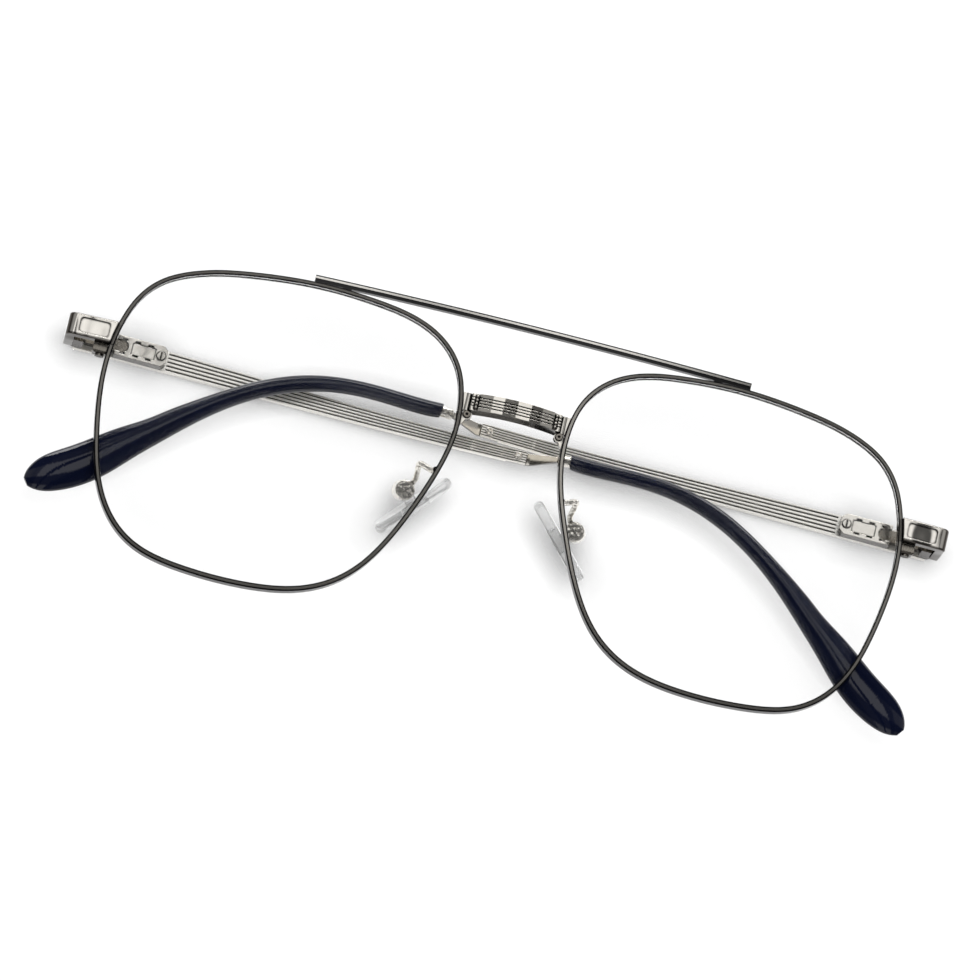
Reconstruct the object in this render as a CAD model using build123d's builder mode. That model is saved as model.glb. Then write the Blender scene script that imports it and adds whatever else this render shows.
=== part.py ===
from build123d import *
from math import atan2, cos, degrees, radians, sin, sqrt
import os

os.makedirs("parts", exist_ok=True)

# Double bridge glasses, face up with the temples folded beneath the lenses.
# +X runs to the right, +Y to the top of the lenses, +Z out of the front.
# Z is 0 at the temples' outer faces, which the glasses lie on.
# Pieces of the front are drawn on the right side.
# Pieces of a temple are drawn in its own frame: the hinge pin at the origin,
# X along the temple, Z towards the lens.

# General
fit = 0.03  # running fit of a pin, and of what slides in what
seat = 0.02  # gap between two fixed pieces that are set in one another
overrun = 2.0  # how far a cut runs past what it cuts
tall = 24.0  # taller than the front, for columns that are trimmed later

# Lenses and rims
lens_width = 55.1
lens_height = 49.3
lens_thickness = 1.6
lens_gap = 18.1  # between the two lenses
lens_drop = 0.6  # lens centre below the middle of the frame
base_radius = 131.0
face_wrap = 4.0  # degrees that each lens turns round the face
pole_rise = 2.0  # the dome's pole above the lens centre
front_height = 14.3  # the dome's pole above the ground
rim_width = 0.8
rim_depth = 1.8
rim_bead_width = 0.36  # raised bead along the middle of the wire's front
rim_bead_rise = 0.15
bevel_width = 0.8
bevel_depth = 0.42
saw_cut = 0.15
outline_steps = 40  # points that an even offset of the outline passes through
rim_outline_shares = [
    (-0.500, 0.162),
    (-0.492, 0.267),
    (-0.462, 0.357),
    (-0.386, 0.438),
    (-0.208, 0.490),
    (-0.055, 0.500),
    (0.150, 0.486),
    (0.329, 0.444),
    (0.419, 0.383),
    (0.477, 0.265),
    (0.500, 0.069),
    (0.478, -0.128),
    (0.419, -0.325),
    (0.329, -0.433),
    (0.150, -0.491),
    (-0.029, -0.497),
    (-0.208, -0.455),
    (-0.297, -0.388),
    (-0.386, -0.247),
    (-0.458, -0.055),
    (-0.488, 0.057),
]

# Hinges
hinge_beyond = 5.05  # hinge pin beyond the middle of the rim wire's outer side
hinge_rise = 9.7  # hinge line above the middle of the frame
hinge_height = 2.2  # hinge pin above the temple's outer face
hinge_tilt = 1.1  # degrees that both hinges lean, so the folded temples pass each other
hinge_length = 3.4
knuckle_radius = 1.0
knuckle_relief = 0.1
eye_length = 1.2
pin_radius = 0.55
screw_head_radius = 0.78
screw_head_depth = 0.4
slot_width = 0.22
slot_depth = 0.18

# Endpieces
endpiece_proud = 1.0  # front face at its outer end, above the middle of the rim wire
endpiece_slope = 0.6  # how much higher the face is at the rim
endpiece_height = 3.6
endpiece_drop = 0.15  # endpiece centre below the hinge line
endpiece_wall = 1.5
endpiece_corner = 1.3
endpiece_edge = 0.3  # rounding of the plate's long edges
butt_set = 0.4  # the temple's end, past the hinge pin
butt_gap = 0.1  # left between the end and the endpiece when the temple is open
recess_inset = 0.55
recess_depth = 0.35
knuckle_block_height = 3.4

# Closing blocks
block_width = 1.7
block_depth = 2.3
upper_block_height = 1.8
lower_block_height = 1.3
closing_screw_radius = 0.45
closing_head_radius = 0.7
closing_head_height = 0.35

# Bridge
bridge_reach = 7.3
bridge_height = 2.8
bridge_rise = 2.15  # bridge centre above the hinge line
bridge_proud = 0.7  # bridge's front above the lens's pole
bridge_depth = 3.0
bridge_bow_radius = 24.5
bridge_arch = 0.2
facet_shares = [0.0, 0.30, 0.55, 0.78, 1.0]
rib_count = 5
rib_groove = 0.2
rib_groove_depth = 0.28
bead_radius = 0.4
bead_reach = 6.45
bead_count = 4
post_radius = 0.65
post_reach = 7.75
post_length = 2.9
web_depth = 1.0
foot_drop = 1.9  # the foot's lower end below the hinge line
bridge_pin_radius = 0.6
bridge_pin_reach = 7.5
bridge_pin_drop = 0.1  # pin's centre below the hinge line
bridge_pin_length = 1.7
bridge_pin_hole_radius = 0.22

# Top bar
bar_reach = 35.6
bar_height = 1.05
bar_depth = 1.2
bar_rise = 15.85  # bar centre above the hinge line
bar_bow = 1.7
bar_step = 0.15  # the bar's lower half stands back from its front
bar_foot_reach = 31.0
bar_foot_length = 1.4
bar_leg_length = 0.4

# Temples
strip_thickness = 1.1
strip_width = 3.4
strip_end_width = 2.1
strip_length = 73.6
strip_flat = 35.0
strip_bend_radius = 330.0
strip_straight_end = 3.6  # straight run from the bend to the strip's end
strip_droop = 0.55
groove_count = 5
groove_width = 0.3
groove_depth = 0.25
end_groove_width = 0.27
groove_spread_share = 0.76
segment_length = 9.0  # the last ribbed part, to the strip's end
segment_gap = 0.5
segment_step = 0.12

# Spring hinge
housing_start = 6.1
housing_end = 14.4
housing_height = 2.3
housing_corner = 0.7
slider_width = 1.9
slider_height = 1.64
slider_end = 8.1
slider_neck = 1.3
rod_radius = 0.42
rod_head_radius = 0.7
rod_head_length = 0.4
rod_length = 4.8
spring_wall = 0.8
spring_bore_radius = 0.8
spring_wire_radius = 0.13
spring_turns = 5
recess_face_start = 8.7
recess_face_end = 12.5
recess_face_depth = 0.15
notch_count = 3  # in each rail
notch_start = 6.9
notch_pitch = 2.1
notch_length = 0.9
notch_width = 0.35
notch_depth = 0.35
retaining_reach = 13.45
retaining_radius = 0.4
retaining_head_radius = 0.75
retaining_head_height = 0.3

# Core wire, ferrule and tip
paddle_thickness = 0.5
paddle_lap = 3.0  # how far the paddle runs under the strip
paddle_beyond = 0.7  # flat part of the paddle past the strip's end
paddle_width = 1.9
wire_radius = 0.475
wire_beyond = 4.9  # from the strip's end to where the wire is round
wire_root_rise = 0.42  # wire above the strip's straight line, where it starts
wire_turn_radius = 14.0
rivet_inset = 1.3  # rivet from the strip's end
rivet_radius = 0.4
rivet_head_radius = 0.65
rivet_head_height = 0.25
ferrule_radius = 0.9
ferrule_length = 2.0
ferrule_edge = 0.25
tip_beyond = 7.0  # from the strip's end to the tip's mouth
tip_length = 60.8
tip_drop = 29.6
tip_width = 6.5
tip_thickness = 3.0
tip_rise = 0.65  # tip's start above the strip's straight line
tip_turn = 0.9  # how far past its start the tip levels off
tip_slope = 0.045  # rise towards the lens per length, beyond the turn
# along the length, below the start, across the blade, through the blade
tip_shares = [
    (0.000, 0.000, 0.370, 0.80),
    (0.155, 0.006, 0.385, 0.82),
    (0.290, 0.026, 0.395, 0.84),
    (0.385, 0.079, 0.415, 0.86),
    (0.485, 0.178, 0.425, 0.88),
    (0.585, 0.318, 0.480, 0.92),
    (0.680, 0.480, 0.615, 0.96),
    (0.765, 0.630, 0.800, 1.00),
    (0.838, 0.765, 0.970, 1.00),
    (0.905, 0.868, 1.000, 0.96),
    (0.953, 0.930, 0.880, 0.84),
    (0.983, 0.974, 0.600, 0.60),
    (1.000, 1.000, 0.220, 0.24),
]
wire_shares = [(0.015, 0.000), (0.290, 0.030), (0.520, 0.222), (0.860, 0.800)]
wire_bend_radius = 26.0

# Nose pads
pad_reach = 11.9
pad_drop = 14.15  # pad centre below the hinge line
pad_set_back = 10.4  # pad centre behind the lens's pole
pad_length = 14.4
pad_top_radius = 3.1
pad_bottom_radius = 3.85
pad_thickness = 1.8
pad_edge = 0.75
pad_lean = 48.6  # degrees from level, in the plane of the front
pad_splay = 15.0
box_radius = 1.65
box_gap = 0.35  # between the box and the pad's face
box_slot = 1.3
box_cheek = 0.65
box_back = 0.45
pad_screw_radius = 0.4
pad_screw_head_radius = 0.65
pad_screw_head_height = 0.3
tongue_radius = 0.85
insert_length = 4.4
insert_width = 2.4
insert_depth = 0.9
arm_radius = 0.48
arm_bend_radius = 0.7
arm_root_reach = 10.15
arm_root_drop = 9.8
arm_loop_out = 2.7
arm_loop_up = 1.1
arm_loop_back = 2.3
arm_mid_back = 3.3
arm_lower_out = 2.4
arm_lower_back = 7.4

# Worked out from the sizes above
rim_span = lens_width + rim_width
rim_rise = lens_height + rim_width
lens_x = (lens_gap + lens_width) / 2
hinge_reach = lens_x + rim_span / 2 + hinge_beyond
strip_bend_end = strip_length - strip_straight_end
segment_start = strip_length - segment_length
rivet_reach = strip_length - rivet_inset
paddle_start = strip_length - paddle_lap
paddle_end = strip_length + paddle_beyond
wire_start = strip_length + wire_beyond
tip_start = strip_length + tip_beyond
bridge_front = front_height + bridge_proud
pad_height = front_height - pad_set_back
pole_x = lens_x - base_radius * sin(radians(face_wrap))
pole_y = pole_rise - lens_drop
dome_centre = (pole_x, pole_y, front_height - base_radius)
split_y = hinge_rise - endpiece_drop - endpiece_height / 2 - saw_cut
outer_x = hinge_reach + hinge_height
wall_end = hinge_height + butt_set + butt_gap
housing_top = housing_height + strip_thickness - hinge_height


def dome_height(x, y):
    """Height of the lens's middle layer over a point of the front."""
    across = (x - pole_x) ** 2 + (y - pole_y) ** 2
    return front_height - base_radius + sqrt(base_radius**2 - across)


def rim_face(grow):
    """The face inside the rim wire's centre line, grown or shrunk by an even amount."""
    points = [
        (lens_x + across * rim_span, -lens_drop + up * rim_rise)
        for across, up in rim_outline_shares
    ]
    centre_line = Spline(*points, periodic=True, mode=Mode.PRIVATE)
    moved = []
    for step in range(outline_steps):
        tangent = centre_line % (step / outline_steps)
        outward = Vector(-tangent.Y, tangent.X)
        moved.append((centre_line @ (step / outline_steps)) + outward * grow)
    with BuildSketch() as face:
        with BuildLine():
            Spline(*moved, periodic=True)
        make_face()
    return face.sketch


def column(face):
    """An upright column over a face."""
    with BuildPart() as post:
        add(face)
        extrude(amount=tall)
    return post.part


def domed(face, thickness):
    """What lies over a face, within a domed layer of the lens's base curve."""
    with BuildPart() as layer:
        add(column(face))
        with Locations(dome_centre):
            Sphere(base_radius + thickness / 2, mode=Mode.INTERSECT)
        with Locations(dome_centre):
            Sphere(base_radius - thickness / 2, mode=Mode.SUBTRACT)
    return layer.part


rim_column = column(rim_face(rim_width / 2))

# Rim: a thin wire with a groove inside that holds the lens's bevel
rim_band = domed(rim_face(rim_width / 2), rim_depth)
rim_hole = column(rim_face(-rim_width / 2))
rim_groove = domed(rim_face(-rim_width / 2 + bevel_depth), bevel_width)
# the front steps down on each side of the bead
shoulder_layer = domed(rim_face(rim_width / 2), rim_depth - 2 * rim_bead_rise)
bead_ring = domed(rim_face(rim_bead_width / 2), rim_depth)
bead_hole = column(rim_face(-rim_bead_width / 2))
with BuildPart() as rim_bead:
    add(bead_ring)
    add(bead_hole, mode=Mode.SUBTRACT)
with BuildPart() as rim:
    add(shoulder_layer)
    add(rim_bead.part)
    add(rim_hole, mode=Mode.SUBTRACT)
    add(rim_groove, mode=Mode.SUBTRACT)
    # the cut behind the endpiece that lets the lens in
    with Locations((lens_x + rim_span / 2, split_y, front_height / 2)):
        Box(lens_gap / 2, saw_cut, front_height + tall, mode=Mode.SUBTRACT)

# Lens: a domed disc with a thin bevel that sits in the rim's groove
lens_body = domed(rim_face(-rim_width / 2 - seat), lens_thickness)
lens_bevel = domed(
    rim_face(-rim_width / 2 + bevel_depth - seat), bevel_width - 2 * seat
)
with BuildPart() as lens:
    add(lens_body)
    add(lens_bevel)

# Endpiece: a bordered front plate that turns back as a side wall to the hinge
plate_x = lens_x + rim_span / 2 - rim_width
endpiece_y = hinge_rise - endpiece_drop
endpiece_front = dome_height(plate_x, endpiece_y) + endpiece_proud
with BuildPart() as endpiece:
    with BuildSketch(Plane.XZ.offset(-endpiece_y)):
        with BuildLine():
            Polyline(
                (plate_x, endpiece_front + endpiece_slope),
                (outer_x, endpiece_front),
                (outer_x, wall_end),
                (outer_x - endpiece_wall, wall_end),
                (outer_x - endpiece_wall, endpiece_front - endpiece_wall),
                (plate_x, endpiece_front + endpiece_slope - endpiece_wall),
                close=True,
            )
        make_face()
    extrude(amount=endpiece_height / 2, both=True)
    corner = endpiece.edges().filter_by(Axis.Y).sort_by(Axis.X)[-2:]
    fillet(corner.sort_by(Axis.Z)[-1], endpiece_corner)
    long_edges = endpiece.faces().sort_by(Axis.Z)[-1].edges().filter_by(Axis.Y, reverse=True)
    fillet(long_edges, endpiece_edge)
    front_plane = Plane(
        (outer_x, endpiece_y, endpiece_front),
        x_dir=(plate_x - outer_x, 0, endpiece_slope),
        z_dir=(endpiece_slope, 0, outer_x - plate_x),
    )
    recess_start = endpiece_corner + recess_inset
    recess_length = outer_x - plate_x - recess_start - recess_inset - rim_width
    with BuildSketch(front_plane):
        with Locations((recess_start + recess_length / 2, 0)):
            RectangleRounded(
                recess_length, endpiece_height - 2 * recess_inset, recess_inset
            )
    extrude(amount=-recess_depth, mode=Mode.SUBTRACT)
    # a round relief that the hinge's eyes turn in
    with BuildSketch(Plane.XZ.offset(-endpiece_y)):
        with Locations((hinge_reach, hinge_height)):
            Circle(knuckle_radius + knuckle_relief)
    extrude(amount=endpiece_height, both=True, mode=Mode.SUBTRACT)
    add(rim_column, mode=Mode.SUBTRACT)

# Closing blocks: two blocks behind the endpiece, one on each end of the rim
block_x = plate_x + rim_width
block_top = endpiece_front - endpiece_wall
screw_x = block_x + block_width / 2 + rim_width / 2
screw_z = block_top - block_depth / 2
with BuildPart() as upper_closing_block:
    with Locations(
        (block_x + block_width / 2, split_y + saw_cut / 2 + upper_block_height / 2, screw_z)
    ):
        Box(block_width + 2 * rim_width, upper_block_height, block_depth)
    fillet(upper_closing_block.faces().sort_by(Axis.Z)[0].edges(), rim_width / 2)
    with BuildSketch(Plane.XZ.offset(-split_y)):
        with Locations((screw_x, screw_z)):
            Circle(closing_screw_radius + seat)
    extrude(amount=-(upper_block_height + saw_cut), mode=Mode.SUBTRACT)
    add(rim_column, mode=Mode.SUBTRACT)

with BuildPart() as lower_closing_block:
    with Locations(
        (block_x + block_width / 2, split_y - saw_cut / 2 - lower_block_height / 2, screw_z)
    ):
        Box(block_width + 2 * rim_width, lower_block_height, block_depth)
    fillet(lower_closing_block.faces().sort_by(Axis.Y)[0].edges(), rim_width / 2)
    with BuildSketch(Plane.XZ.offset(-split_y)):
        with Locations((screw_x, screw_z)):
            Circle(closing_screw_radius + seat)
    extrude(amount=overrun, mode=Mode.SUBTRACT)
    add(rim_column, mode=Mode.SUBTRACT)

# Closing screw: up through the lower block into the upper one
closing_base = split_y - saw_cut / 2 - lower_block_height
with BuildPart() as closing_screw:
    with BuildSketch(Plane.XZ.offset(-closing_base)):
        with Locations((screw_x, screw_z)):
            Circle(closing_screw_radius)
    extrude(amount=-(lower_block_height + saw_cut + upper_block_height - seat))
    with BuildSketch(Plane.XZ.offset(-closing_base)):
        with Locations((screw_x, screw_z)):
            Circle(closing_head_radius)
    extrude(amount=closing_head_height)
    with BuildSketch(Plane.XZ.offset(-closing_base + closing_head_height)):
        with Locations((screw_x, screw_z)):
            Rectangle(2 * closing_head_radius, slot_width)
    extrude(amount=-slot_depth, mode=Mode.SUBTRACT)

# Knuckles: a block on the endpiece's wall, slotted for the slider's eye
with BuildPart() as endpiece_knuckles:
    with BuildSketch(Plane.XZ):
        Circle(knuckle_radius)
        with BuildLine():
            Polyline(
                (-(hinge_height - endpiece_wall) + 2 * seat, 0),
                (-(hinge_height - endpiece_wall) + 2 * seat, knuckle_block_height),
                (knuckle_radius - fit, knuckle_block_height),
                (knuckle_radius, 0),
                close=True,
            )
        make_face()
    extrude(amount=hinge_length / 2, both=True)
    with BuildSketch(Plane.XZ):
        Rectangle(3 * knuckle_radius, 2 * (knuckle_radius + rim_width / 4))
    extrude(amount=eye_length / 2 + fit, both=True, mode=Mode.SUBTRACT)
    with BuildSketch(Plane.XZ):
        Circle(pin_radius + fit)
    extrude(amount=hinge_length, both=True, mode=Mode.SUBTRACT)
    with BuildSketch(Plane.XZ.offset(-hinge_length / 2)):
        Circle(screw_head_radius + seat)
    extrude(amount=screw_head_depth, mode=Mode.SUBTRACT)

# Hinge screw: its head sinks into the upper knuckle
with BuildPart() as hinge_screw:
    with BuildSketch(Plane.XZ.offset(-hinge_length / 2)):
        Circle(screw_head_radius)
    extrude(amount=screw_head_depth - seat)
    with BuildSketch(Plane.XZ.offset(-hinge_length / 2)):
        Circle(pin_radius)
    extrude(amount=hinge_length)
    with BuildSketch(Plane.XZ.offset(-hinge_length / 2)):
        Rectangle(2 * screw_head_radius, slot_width)
    extrude(amount=slot_depth, mode=Mode.SUBTRACT)

# Bridge: a bowed bar, ribbed along its front, with mirror facets and bead columns
bridge_y = hinge_rise + bridge_rise


def bow_height(x):
    """Height of the bridge's front over a point beside the middle."""
    return bridge_front - bridge_bow_radius + sqrt(bridge_bow_radius**2 - x**2)


facet_places = [share * bridge_reach for share in facet_shares]
facet_points = [(-x, bow_height(x)) for x in reversed(facet_places)] + [
    (x, bow_height(x)) for x in facet_places[1:]
]
lowered_points = [(x, z - rib_groove_depth) for x, z in facet_points]
raised_points = [(x, z + overrun) for x, z in reversed(facet_points)]
rib_pitch = (bridge_height - 2 * rib_groove) / rib_count
bead_pitch = (bridge_height - bead_radius) / bead_count
bead_z = bow_height(bead_reach)
with BuildPart() as bridge:
    with BuildSketch(Plane.XZ.offset(-bridge_y)):
        with BuildLine():
            Polyline(*facet_points)
            Line(facet_points[-1], (bridge_reach, bow_height(bridge_reach) - bridge_depth))
            ThreePointArc(
                (bridge_reach, bow_height(bridge_reach) - bridge_depth),
                (0, bridge_front - bridge_depth),
                (-bridge_reach, bow_height(bridge_reach) - bridge_depth),
            )
            Line((-bridge_reach, bow_height(bridge_reach) - bridge_depth), facet_points[0])
        make_face()
    extrude(amount=bridge_height, both=True)
    # upper and lower edges arch gently
    with BuildSketch():
        with BuildLine():
            ThreePointArc(
                (-bridge_reach, bridge_y + bridge_height / 2 - bridge_arch),
                (0, bridge_y + bridge_height / 2),
                (bridge_reach, bridge_y + bridge_height / 2 - bridge_arch),
            )
            Line(
                (bridge_reach, bridge_y + bridge_height / 2 - bridge_arch),
                (bridge_reach, bridge_y - bridge_height / 2 - bridge_arch),
            )
            ThreePointArc(
                (bridge_reach, bridge_y - bridge_height / 2 - bridge_arch),
                (0, bridge_y - bridge_height / 2),
                (-bridge_reach, bridge_y - bridge_height / 2 - bridge_arch),
            )
            Line(
                (-bridge_reach, bridge_y - bridge_height / 2 - bridge_arch),
                (-bridge_reach, bridge_y + bridge_height / 2 - bridge_arch),
            )
        make_face()
    extrude(amount=tall, mode=Mode.INTERSECT)
    for rib in range(rib_count - 1):
        groove_y = bridge_y + (rib - (rib_count - 2) / 2) * rib_pitch - bridge_arch / 2
        with BuildSketch(Plane.XZ.offset(-groove_y)):
            with BuildLine():
                Polyline(*lowered_points, *raised_points, close=True)
            make_face()
        extrude(amount=rib_groove / 2, both=True, mode=Mode.SUBTRACT)
    for end in (-1, 1):
        # the beads stand in a sunk panel at each end
        with BuildSketch(Plane.XZ.offset(-bridge_y)):
            with Locations((end * (bead_reach + bead_radius), bead_z + bead_radius / 2)):
                Rectangle(4 * bead_radius, 2 * bead_radius)
        extrude(amount=bridge_height, both=True, mode=Mode.SUBTRACT)
        for bead in range(bead_count):
            bead_y = bridge_y - bridge_arch + (bead - (bead_count - 1) / 2) * bead_pitch
            with Locations((end * bead_reach, bead_y, bead_z - bead_radius / 4)):
                Sphere(bead_radius)
        with Locations((end * post_reach, bridge_y, bead_z - bridge_depth / 2)):
            Cylinder(
                post_radius, tall, rotation=(90, 0, 0), mode=Mode.SUBTRACT
            )

# Bridge lug: the rounded post between the bridge and the rim, with a foot
post_z = bead_z - bridge_depth / 2
bridge_pin_place = (bridge_pin_reach, hinge_rise - bridge_pin_drop)
foot_points = [
    (bridge_pin_reach, hinge_rise + bridge_pin_radius - bridge_pin_drop),
    (lens_gap / 2, hinge_rise - bridge_pin_radius),
    (lens_gap / 2, hinge_rise - foot_drop),
    (post_reach + post_radius / 2, hinge_rise - foot_drop),
    (bridge_pin_reach - bridge_pin_radius / 2, hinge_rise - bridge_pin_radius / 2),
]
post_bottom = bridge_y - bridge_arch - post_length / 2
with BuildPart() as bridge_lug:
    with BuildSketch(Plane.XZ.offset(-post_bottom)):
        with Locations((post_reach, post_z)):
            Circle(post_radius)
        with Locations(((post_reach + lens_gap / 2) / 2, post_z)):
            Rectangle(lens_gap / 2 - post_reach, web_depth)
    extrude(amount=-post_length)
    with BuildSketch(Plane.XY.offset(post_z - web_depth / 2)):
        with BuildLine():
            Polyline(*foot_points, close=True)
        make_face()
        with Locations(bridge_pin_place):
            Circle(bridge_pin_radius + bridge_pin_hole_radius)
    extrude(amount=web_depth)
    with BuildSketch(Plane.XY.offset(post_z)):
        with Locations(bridge_pin_place):
            Circle(bridge_pin_radius + seat)
    extrude(amount=tall, both=True, mode=Mode.SUBTRACT)
    add(rim_column, mode=Mode.SUBTRACT)

# Bridge pin: a hollow rivet through the lug's foot
with BuildPart() as bridge_pin:
    with BuildSketch(Plane.XY.offset(post_z - bridge_pin_length / 2)):
        with Locations(bridge_pin_place):
            Circle(bridge_pin_radius)
    extrude(amount=bridge_pin_length)
    fillet(bridge_pin.edges().sort_by(Axis.Z)[-1], bridge_pin_hole_radius / 2)
    with BuildSketch(Plane.XY.offset(post_z + bridge_pin_length / 2)):
        with Locations(bridge_pin_place):
            Circle(bridge_pin_hole_radius)
    extrude(amount=-web_depth, mode=Mode.SUBTRACT)

# Top bar: a straight bowed bar that stands on both rims
bar_y = hinge_rise + bar_rise
bar_end_z = dome_height(bar_reach, bar_y)
bar_low = bar_y - bar_height / 2
mirrored_rim_column = mirror(rim_column, about=Plane.YZ)
with BuildPart() as top_bar:
    with BuildSketch(Plane.XZ.offset(-bar_y)):
        with BuildLine():
            ThreePointArc(
                (-bar_reach, bar_end_z + bar_depth / 2),
                (0, bar_end_z + bar_bow + bar_depth / 2),
                (bar_reach, bar_end_z + bar_depth / 2),
            )
            Line(
                (bar_reach, bar_end_z + bar_depth / 2),
                (bar_reach, bar_end_z - bar_depth / 2),
            )
            ThreePointArc(
                (bar_reach, bar_end_z - bar_depth / 2),
                (0, bar_end_z + bar_bow - bar_depth / 2),
                (-bar_reach, bar_end_z - bar_depth / 2),
            )
            Line(
                (-bar_reach, bar_end_z - bar_depth / 2),
                (-bar_reach, bar_end_z + bar_depth / 2),
            )
        make_face()
    extrude(amount=2 * bar_height, both=True)
    with BuildSketch():
        with Locations((0, bar_y)):
            RectangleRounded(2 * bar_reach, bar_height, bar_height / 4)
        for end in (-1, 1):
            foot_x = end * (bar_foot_reach - bar_foot_length / 2)
            leg_x = end * (bar_reach - bar_leg_length / 2)
            with Locations((foot_x, bar_low)):
                Rectangle(bar_foot_length, 2 * bar_height)
            with Locations((leg_x, bar_low)):
                Rectangle(bar_leg_length, 2 * bar_height)
    extrude(amount=tall, mode=Mode.INTERSECT)
    # the lower half of the front steps back
    with BuildSketch(Plane.XZ.offset(-bar_y)):
        with BuildLine():
            ThreePointArc(
                (-bar_reach, bar_end_z + bar_depth / 2 - bar_step),
                (0, bar_end_z + bar_bow + bar_depth / 2 - bar_step),
                (bar_reach, bar_end_z + bar_depth / 2 - bar_step),
            )
            Polyline(
                (bar_reach, bar_end_z + bar_depth / 2 - bar_step),
                (bar_reach, tall),
                (-bar_reach, tall),
                (-bar_reach, bar_end_z + bar_depth / 2 - bar_step),
            )
        make_face()
    extrude(amount=2 * bar_height, mode=Mode.SUBTRACT)
    # the feet end on the wires
    add(rim_column, mode=Mode.SUBTRACT)
    add(mirrored_rim_column, mode=Mode.SUBTRACT)

# Temple's side view: flat, then a gentle bend, then straight
bend_angle = degrees(atan2(strip_bend_end - strip_flat, strip_bend_radius))


def temple_edge(level, start, end):
    """A line along the temple, level above its outer face, from start to end."""
    ground = level - hinge_height
    flat = Line((start, ground), (strip_flat, ground))
    bend = JernArc(flat @ 1, flat % 1, strip_bend_radius - level, bend_angle)
    last = bend @ 1
    slope = (bend % 1).Y / (bend % 1).X
    rest = Line(last, (end, last.Y + (end - last.X) * slope))
    return [flat, bend, rest]


def temple_height(x, level):
    """Height in the temple's frame of what lies level above its outer face."""
    radius = strip_bend_radius - level
    bend_end = strip_flat + radius * sin(radians(bend_angle))
    if x <= strip_flat:
        return level - hinge_height
    if x <= bend_end:
        return level - hinge_height + radius - sqrt(radius**2 - (x - strip_flat) ** 2)
    rise = radius * (1 - cos(radians(bend_angle)))
    slope = sin(radians(bend_angle)) / cos(radians(bend_angle))
    return level - hinge_height + rise + (x - bend_end) * slope


def temple_band(low, high, start, end):
    """A broad band along the temple between two levels above its outer face."""
    with BuildPart() as band:
        with BuildSketch(Plane.XZ):
            with BuildLine():
                lower = temple_edge(low, start, end)
                upper = temple_edge(high, start, end)
                Line(lower[0] @ 0, upper[0] @ 0)
                Line(lower[-1] @ 1, upper[-1] @ 1)
            make_face()
        extrude(amount=strip_width, both=True)
    return band.part


def strip_middle(x):
    """The strip's centre line, which droops a little beyond the housing."""
    share = (x - housing_end) / (strip_bend_end - housing_end)
    return -strip_droop * max(share, 0)


def strip_breadth(x):
    """The strip's width, which tapers beyond the housing."""
    share = (x - housing_end) / (strip_bend_end - housing_end)
    return strip_width + (strip_end_width - strip_width) * max(share, 0)


def lengthwise_slots(start, end, wide, count):
    """Tapered slots along the strip, side by side, seen in plan."""
    with BuildSketch() as slots:
        for slot in range(count):
            share = groove_spread_share * (slot / (count - 1) - 1 / 2)
            a = strip_middle(start) + share * strip_breadth(start)
            b = strip_middle(end) + share * strip_breadth(end)
            with BuildLine():
                Polyline(
                    (start, a - wide / 2),
                    (end, b - wide / 2),
                    (end, b + wide / 2),
                    (start, a + wide / 2),
                    close=True,
                )
            make_face()
    return slots.sketch


# Temple strip: ribbed along its inner face, rebated beneath its end for the paddle
strip_body = temple_band(0, strip_thickness, -butt_set, strip_length)
groove_band = temple_band(
    strip_thickness - groove_depth, strip_thickness + overrun, 0, strip_length
)
segment_band = temple_band(
    strip_thickness - segment_step, strip_thickness + overrun, 0, strip_length
)
rebate_band = temple_band(-overrun, paddle_thickness + seat, 0, strip_length + overrun)
main_slots = lengthwise_slots(
    housing_end + groove_width, segment_start, groove_width, groove_count
)
end_slots = lengthwise_slots(
    segment_start + segment_gap,
    rivet_reach - rivet_head_radius,
    end_groove_width,
    groove_count,
)
with BuildPart() as groove_cuts:
    add(groove_band)
    with BuildSketch(Plane.XY.offset(-tall / 2)):
        add(main_slots)
        add(end_slots)
    extrude(amount=tall, mode=Mode.INTERSECT)
with BuildPart() as step_cut:
    add(segment_band)
    with BuildSketch(Plane.XY.offset(-tall / 2)):
        with Locations((segment_start + segment_gap / 2, 0)):
            Rectangle(segment_gap / 2, 2 * strip_width)
    extrude(amount=tall, mode=Mode.INTERSECT)
with BuildPart() as rebate_cut:
    add(rebate_band)
    with BuildSketch(Plane.XY.offset(-tall / 2)):
        with Locations((paddle_start - seat + tall / 2, 0)):
            Rectangle(tall, 2 * strip_width)
    extrude(amount=tall, mode=Mode.INTERSECT)
rivet_plane = Plane(
    (rivet_reach, strip_middle(rivet_reach), temple_height(rivet_reach, strip_thickness)),
    x_dir=(cos(radians(bend_angle)), 0, sin(radians(bend_angle))),
    z_dir=(-sin(radians(bend_angle)), 0, cos(radians(bend_angle))),
)
end_middle = strip_middle(strip_length)
with BuildPart() as temple_strip:
    add(strip_body)
    with BuildSketch(Plane.XY.offset(-tall / 2)):
        with BuildLine():
            Polyline(
                (-butt_set, strip_width / 2),
                (housing_end, strip_width / 2),
                (strip_length, end_middle + strip_breadth(strip_length) / 2),
                (strip_length, end_middle - strip_breadth(strip_length) / 2),
                (housing_end, -strip_width / 2),
                (-butt_set, -strip_width / 2),
                close=True,
            )
        make_face()
    extrude(amount=tall, mode=Mode.INTERSECT)
    add(groove_cuts.part, mode=Mode.SUBTRACT)
    # the segment boundary is a shallow step across the ribs
    add(step_cut.part, mode=Mode.SUBTRACT)
    add(rebate_cut.part, mode=Mode.SUBTRACT)
    with BuildSketch(rivet_plane):
        Circle(rivet_radius + seat)
    extrude(amount=tall, both=True, mode=Mode.SUBTRACT)

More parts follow.
